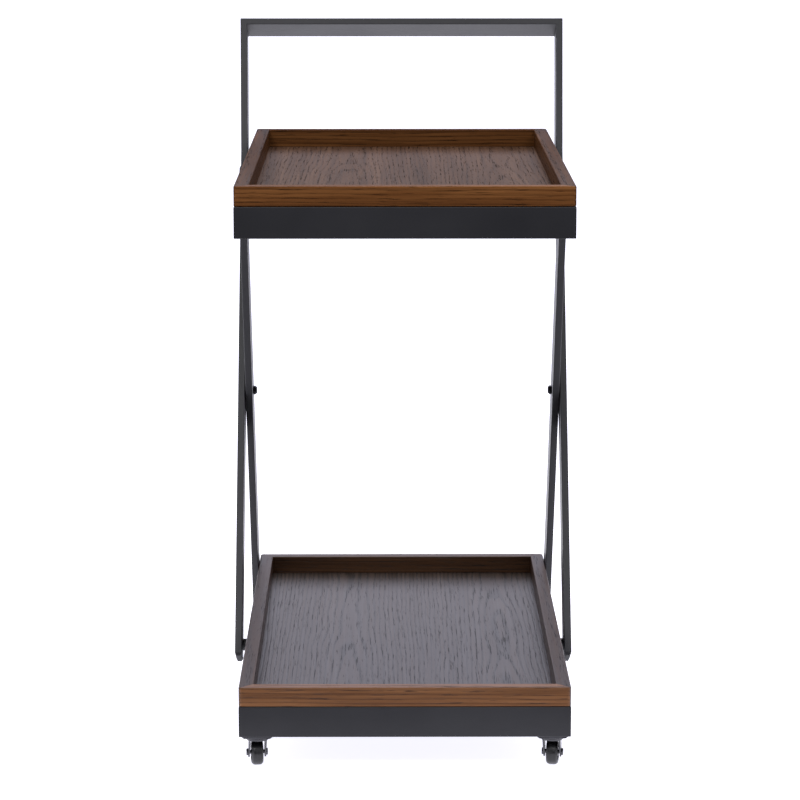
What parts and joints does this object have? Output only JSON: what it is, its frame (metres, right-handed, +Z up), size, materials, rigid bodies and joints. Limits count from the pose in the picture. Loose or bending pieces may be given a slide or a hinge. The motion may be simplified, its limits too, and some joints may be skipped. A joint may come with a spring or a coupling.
{
  "type": "bar cart",
  "caption": "Two-tier bar cart with lift-out wooden trays on steel frames, folding scissor legs, a push handle and swivel casters.",
  "frame": {"origin": "on the floor, at the middle of the cart's footprint (the centre of the bottom of its bounding box)", "axes": "+Z up, +X across the cart to the right seen from its front, -Y towards the front end, which is away from the handle"},
  "size_m": [0.4538, 0.7723, 0.8714],
  "materials": {
    "powder_coat": "fine-textured satin powder coat, charcoal black",
    "walnut_wood": "walnut stain under satin lacquer, open oak grain",
    "floor_veneer": "walnut-stained oak veneer under satin lacquer",
    "dark_chrome": "dark chrome plate",
    "dark_zinc": "black zinc plate",
    "steel_ball": "polished ball bearings",
    "black_screw": "black oxide steel fasteners",
    "nylon": "black nylon",
    "black_plastic": "moulded black plastic",
    "wheel_black": "moulded black wheel, slightly worn tread",
    "felt": "black felt pads"
  },
  "bodies": {
    "lower_frame": {"lower_frame_front_rail": "powder_coat", "lower_frame_rear_rail": "powder_coat", "lower_frame_left_rail": "powder_coat", "lower_frame_right_rail": "powder_coat", "lower_frame_slats": "powder_coat", "caster_gussets": "powder_coat", "lower_frame_felt_pads": "felt", "caster_plates": "dark_zinc", "caster_kingpins": "dark_zinc", "caster_bearing_balls": "steel_ball", "caster_screws": "black_screw"},
    "inner_frame": {"inner_left_leg": "powder_coat", "inner_right_leg": "powder_coat", "inner_leg_bushings": "powder_coat", "lower_pivot_bolts": "black_screw", "lower_pivot_nuts": "black_screw", "upper_slide_pins": "black_screw", "upper_glides": "nylon", "inner_leg_washers": "nylon", "inner_leg_end_plugs": "black_plastic"},
    "handle_frame": {"outer_left_leg": "powder_coat", "outer_right_leg": "powder_coat", "handle_bar": "powder_coat", "outer_leg_bushings": "powder_coat", "cross_pivot_bolts": "black_screw", "upper_pivot_bolts": "black_screw", "outer_leg_nuts": "black_screw", "lower_slide_pins": "black_screw", "lower_glides": "nylon", "cross_pivot_washers": "nylon", "outer_leg_spacers": "powder_coat", "outer_leg_end_plugs": "black_plastic"},
    "upper_frame": {"upper_frame_front_rail": "powder_coat", "upper_frame_rear_rail": "powder_coat", "upper_frame_left_rail": "powder_coat", "upper_frame_right_rail": "powder_coat", "upper_frame_slats": "powder_coat", "upper_frame_felt_pads": "felt"},
    "upper_tray": {"upper_tray_front_rim": "walnut_wood", "upper_tray_rear_rim": "walnut_wood", "upper_tray_left_rim": "walnut_wood", "upper_tray_right_rim": "walnut_wood", "upper_tray_floor": "floor_veneer"},
    "lower_tray": {"lower_tray_front_rim": "walnut_wood", "lower_tray_rear_rim": "walnut_wood", "lower_tray_left_rim": "walnut_wood", "lower_tray_right_rim": "walnut_wood", "lower_tray_floor": "floor_veneer"},
    "front_left_fork": {"front_left_caster_fork": "dark_chrome", "front_left_caster_axle": "dark_chrome"},
    "front_left_wheel": {"front_left_caster_wheel": "wheel_black"},
    "front_right_fork": {"front_right_caster_fork": "dark_chrome", "front_right_caster_axle": "dark_chrome"},
    "front_right_wheel": {"front_right_caster_wheel": "wheel_black"},
    "rear_left_fork": {"rear_left_caster_fork": "dark_chrome", "rear_left_caster_axle": "dark_chrome"},
    "rear_left_wheel": {"rear_left_caster_wheel": "wheel_black"},
    "rear_right_fork": {"rear_right_caster_fork": "dark_chrome", "rear_right_caster_axle": "dark_chrome"},
    "rear_right_wheel": {"rear_right_caster_wheel": "wheel_black"}
  },
  "joints": [
    {"name": "fold", "type": "hinge", "parent": "lower_frame", "child": "inner_frame", "pos_m": [0, 0.28416, 0.063], "axis": [1, 0, 0], "range_deg": [0, 39.5]},
    {"name": "scissor", "type": "hinge", "parent": "inner_frame", "child": "handle_frame", "pos_m": [0, 0.12761, 0.37975], "axis": [1, 0, 0], "range_deg": [-79, 0]},
    {"name": "upper_level", "type": "hinge", "parent": "handle_frame", "child": "upper_frame", "pos_m": [0, 0.27428, 0.6765], "axis": [1, 0, 0], "range_deg": [0, 39.5]},
    {"name": "upper_tray_lift", "type": "slide", "parent": "upper_frame", "child": "upper_tray", "axis": [0, 0, 1], "range_m": [0, 0.12]},
    {"name": "lower_tray_lift", "type": "slide", "parent": "lower_frame", "child": "lower_tray", "axis": [0, 0, 1], "range_m": [0, 0.09]},
    {"name": "front_left_swivel", "type": "hinge", "parent": "lower_frame", "child": "front_left_fork", "pos_m": [-0.181, -0.36434, 0.03], "axis": [0, 0, 1], "continuous": true},
    {"name": "front_left_spin", "type": "hinge", "parent": "front_left_fork", "child": "front_left_wheel", "pos_m": [-0.18222, -0.35441, 0.016], "axis": [0.9925, 0.1219, 0], "continuous": true},
    {"name": "front_right_swivel", "type": "hinge", "parent": "lower_frame", "child": "front_right_fork", "pos_m": [0.181, -0.36434, 0.03], "axis": [0, 0, 1], "continuous": true},
    {"name": "front_right_spin", "type": "hinge", "parent": "front_right_fork", "child": "front_right_wheel", "pos_m": [0.18256, -0.35446, 0.016], "axis": [0.9877, -0.1564, 0], "continuous": true},
    {"name": "rear_left_swivel", "type": "hinge", "parent": "lower_frame", "child": "rear_left_fork", "pos_m": [-0.181, 0.28166, 0.03], "axis": [0, 0, 1], "continuous": true},
    {"name": "rear_left_spin", "type": "hinge", "parent": "rear_left_fork", "child": "rear_left_wheel", "pos_m": [-0.1803, 0.29164, 0.016], "axis": [0.9976, -0.0698, 0], "continuous": true},
    {"name": "rear_right_swivel", "type": "hinge", "parent": "lower_frame", "child": "rear_right_fork", "pos_m": [0.181, 0.28166, 0.03], "axis": [0, 0, 1], "continuous": true},
    {"name": "rear_right_spin", "type": "hinge", "parent": "rear_right_fork", "child": "rear_right_wheel", "pos_m": [0.17996, 0.29161, 0.016], "axis": [0.9945, 0.1045, 0], "continuous": true}
  ],
  "couplings": [
    {"joint": "scissor", "follows": "fold", "ratio": -2},
    {"joint": "upper_level", "follows": "fold", "ratio": 1}
  ]
}
